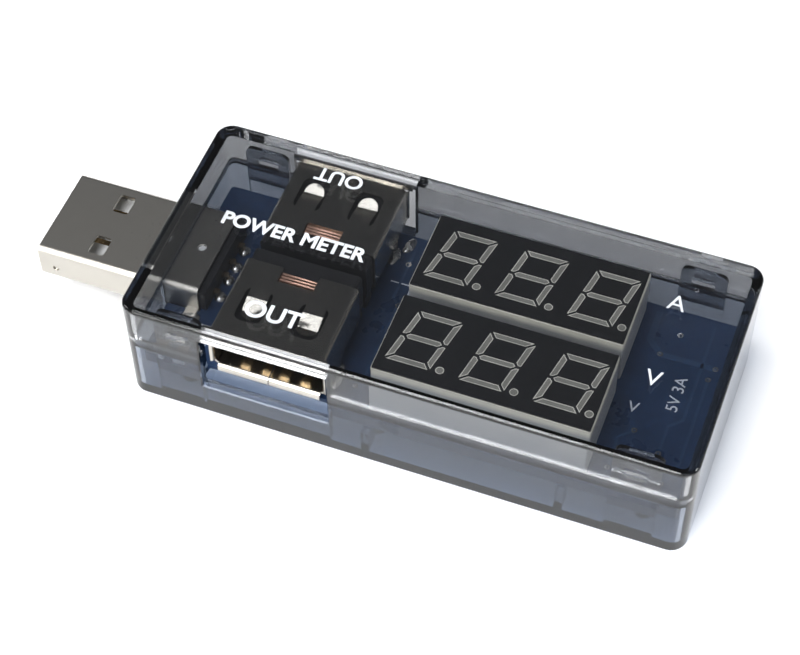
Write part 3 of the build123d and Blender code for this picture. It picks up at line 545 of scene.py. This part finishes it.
# each run: its width, then its line
TOP_RUNS = (
    (0.5, ((-15.2, 10.9), (-15.2, 4.6), (-16.9, 3.5))),
    (0.5, ((-15.2, -10.9), (-15.2, -4.6), (-16.9, -3.5))),
    (0.3, ((0.2, 11.3), (0.2, 3.0), (1.1, 2.1), (1.1, -10.8))),
    (0.3, ((1.9, 11.3), (1.9, 1.0), (2.6, 0.3), (2.6, -1.0))),
    (0.7, ((28.6, 11.2), (28.6, 7.2), (30.2, 5.6), (36.4, 5.6))),
    (0.3, ((29.0, -11.2), (29.0, -6.4), (30.4, -5.0))),
    (0.3, ((34.9, 11.2), (34.9, -2.0), (33.6, -3.3), (33.6, -11.2))),
    (0.3, ((36.0, 4.0), (36.0, -8.0), (34.8, -9.2))),
)
UNDER_RUNS = (
    (1.8, ((-18.05, 3.5), (-15.0, 6.6), (-15.0, 9.0), (-4.0, 9.0), (-4.0, 2.0))),
    (1.8, ((-18.05, -3.5), (-14.6, -6.9), (-10.0, -6.9), (-8.0, -4.9))),
    (0.4, ((-18.05, 1.0), (-12.0, 1.0), (-9.15, 0.1))),
    (0.4, ((-18.05, -1.0), (-12.0, -1.0), (-9.15, -0.3))),
    (0.5, ((2.0, 1.2), (14.0, 1.2), (16.6, 3.8), (27.0, 3.8))),
    (0.5, ((2.0, -1.0), (15.0, -1.0), (17.4, -3.4), (27.0, -3.4))),
    (0.3, ((8.6, 9.9), (12.0, 9.9), (17.5, 4.4), (26.4, 4.4))),
    (0.3, ((11.2, -9.7), (17.0, -9.7), (22.0, -4.7), (26.6, -4.7))),
    (0.3, ((35.5, -10.5), (35.5, 0.0), (35.5, 10.5))),
    (0.9, ((27.1, 7.0), (27.1, 10.4), (34.0, 10.4))),
)
VIAS = (
    (1.1, 2.1), (2.6, -1.4), (30.4, -5.0), (34.8, -9.5), (30.2, 5.6), (36.4, 5.6), (33.6, -7.0), (31.6, 8.8),
    (-15.2, 5.8), (-15.2, -5.8), (0.2, 8.0), (36.0, 4.0), (29.0, -9.4), (0.4, -8.6), (2.4, 6.2),
)
TOP_PRINT = (
    ((-0.9, 5.2), (1.6, 5.2), (1.6, -7.0)), ((3.35, -6.6), (3.35, -7.6)), ((3.35, -8.2), (3.35, -9.2)),
    ((3.35, -9.8), (3.35, -10.8)), ((-22.3, -7.7), (-17.0, -7.7)), ((-22.3, -9.85), (-17.0, -9.85)),
)
# outlines under the board, round its parts and below the displays: middle, size
UNDER_PRINT = (
    ((32.45, 0), (4.9, 7.0)), ((2.55, 3.6), (2.1, 3.4)), ((-16.85, 8.6), (4.0, 7.1)),
    ((15.0, 6.05), (24.6, 10.6)), ((15.0, -5.8), (24.6, 10.6)),
)
PIN_ONE_MARK, MARK_RADIUS, MARK_WIDTH = (29.4, 4.4), 0.16, 0.22

# runs stand out a little through the mask, on both faces of the board
bm = bmesh.new()
for width, line in TOP_RUNS:
    ribbon(bm, line, width, BOARD_TOP - SUNK, BOARD_TOP + RUN_RISE)
for width, line in UNDER_RUNS:
    ribbon(bm, line, width, BOARD_BOTTOM - RUN_RISE, BOARD_BOTTOM + SUNK)
mesh_piece("board_copper_runs", bm, copper_mask, smooth=False)

bm = bmesh.new()
for via in VIAS:
    ring = circle_line(via, VIA_RADIUS)
    ribbon(bm, ring, VIA_RING, BOARD_TOP - SUNK, BOARD_TOP + VIA_RISE)
    ribbon(bm, ring, VIA_RING, BOARD_BOTTOM - VIA_RISE, BOARD_BOTTOM + SUNK)
mesh_piece("board_vias", bm, solder, smooth=False)

bm = bmesh.new()
for line in TOP_PRINT:
    ribbon(bm, line, TOP_LINE, BOARD_TOP, BOARD_TOP + PRINT_RISE)
for centre, size in UNDER_PRINT:
    ribbon(bm, rectangle_line(centre, size), UNDER_LINE, BOARD_BOTTOM - PRINT_RISE, BOARD_BOTTOM)
mark = circle_line(PIN_ONE_MARK, MARK_RADIUS)
ribbon(bm, mark, MARK_WIDTH, BOARD_BOTTOM - PRINT_RISE, BOARD_BOTTOM)
mesh_piece("board_print_lines", bm, silkscreen, smooth=False)

ON_BOARD = {"mat": silkscreen, "body": "meter", "z": BOARD_TOP + 0.012}
lettering("board_print_v", "V", (22.3, -2.2), 1.45, **ON_BOARD)
lettering("board_print_rating", "5V 3A", (26.25, 1.0), 1.35, angle=90, **ON_BOARD)

# ---------------------------------------------------------------- ejector pins' marks in the base

BASE_FLOOR = 1.30
EJECTOR_X, EJECTOR_Y = (-18.5, 3.4, 33.6), (-9.6, 9.6)
EJECTOR_MARK = ((1.1, -0.01), (1.1, 0.03), (1.0, 0.05), (0.9, 0.03), (0.05, 0.03))

bm = bmesh.new()
for x in EJECTOR_X:
    for y in EJECTOR_Y:
        lathe(bm, (x, y, BASE_FLOOR), EJECTOR_MARK, steps=32)
mesh_piece("base_ejector_marks", bm, case_base)

# ---------------------------------------------------------------- floor and light, in metres

FLOOR_REACH, FLOOR_DROP = 3.0, 0.00002

floor_mesh = bpy.data.meshes.new("floor")
corners = [(x * FLOOR_REACH, y * FLOOR_REACH, 0) for x, y in ((-1, -1), (1, -1), (1, 1), (-1, 1))]
floor_mesh.from_pydata(corners, [], [(0, 1, 2, 3)])
floor = bpy.data.objects.new("floor", floor_mesh)
scene.collection.objects.link(floor)
floor.location.z = -FLOOR_DROP
floor_mat, floor_out = new_material("floor_paper")
paper = node(
    floor_mat, "ShaderNodeBsdfPrincipled", in_Base_Color=rgb(0.93, 0.93, 0.93), in_Roughness=0.9,
    in_Specular_IOR_Level=0.0, in_Normal=bumped(floor_mat, noise_value(floor_mat, 900, 3), 0.02 * MM, 0.3),
)
finish(floor_mat, floor_out, paper.outputs[0])
floor_mesh.materials.append(floor_mat)

DARK_SIDE = Vector((-0.22, 0.57, 0.79))  # up and behind the meter, where a flat lid mirrors the studio
GLOW_SIDE = Vector((-0.2, -0.9, 0.39))  # low in front, where the ports' lips look

world = bpy.data.worlds.new("studio")
scene.world = world
world.use_nodes = True


def looking_towards(side):
    """How far a direction of the sky lies towards a side: 1 on it, 0 across it."""
    direction = node(world, "ShaderNodeTexCoord").outputs["Generated"]
    product = node(world, "ShaderNodeVectorMath", operation="DOT_PRODUCT", in_0=direction, in_1=side)
    return product.outputs["Value"]


darkness = ranged(world, looking_towards(DARK_SIDE), 0.0, 0.8, 0, 1)
sky = mixed(world, darkness, rgb(0.30, 0.31, 0.33), rgb(0.15, 0.155, 0.165))
glow = ranged(world, looking_towards(GLOW_SIDE), 0.7, 0.95, 0, 1)
sky = mixed(world, glow, sky, rgb(0.6, 0.6, 0.6))
world.node_tree.links.new(sky, world.node_tree.nodes["Background"].inputs["Color"])


def softbox(name, direction, distance, size, power):
    """An area light that faces the middle of the case."""
    lamp = bpy.data.lights.new(name, "AREA")
    lamp.shape = "RECTANGLE"
    lamp.size, lamp.size_y = size
    lamp.energy = power
    holder = bpy.data.objects.new(name, lamp)
    scene.collection.objects.link(holder)
    towards = Vector(direction).normalized()
    holder.location = CASE_MIDDLE + towards * distance
    holder.rotation_mode = "QUATERNION"
    holder.rotation_quaternion = towards.to_track_quat("Z", "Y")


softbox("softbox_front", (-0.15, -0.70, 1.0), 0.7, (0.3, 0.2), 3.6)
softbox("softbox_low_front", (-0.2, -0.9, 0.42), 0.7, (0.4, 0.3), 2.3)
softbox("softbox_top", (-0.22, -0.12, 1.0), 0.7, (0.22, 0.22), 1.7)
softbox("softbox_left", (-1.0, -0.1, 0.9), 0.7, (0.25, 0.25), 0.8)
softbox("softbox_right", (1.0, 0.2, 0.8), 0.8, (0.25, 0.25), 1.5)
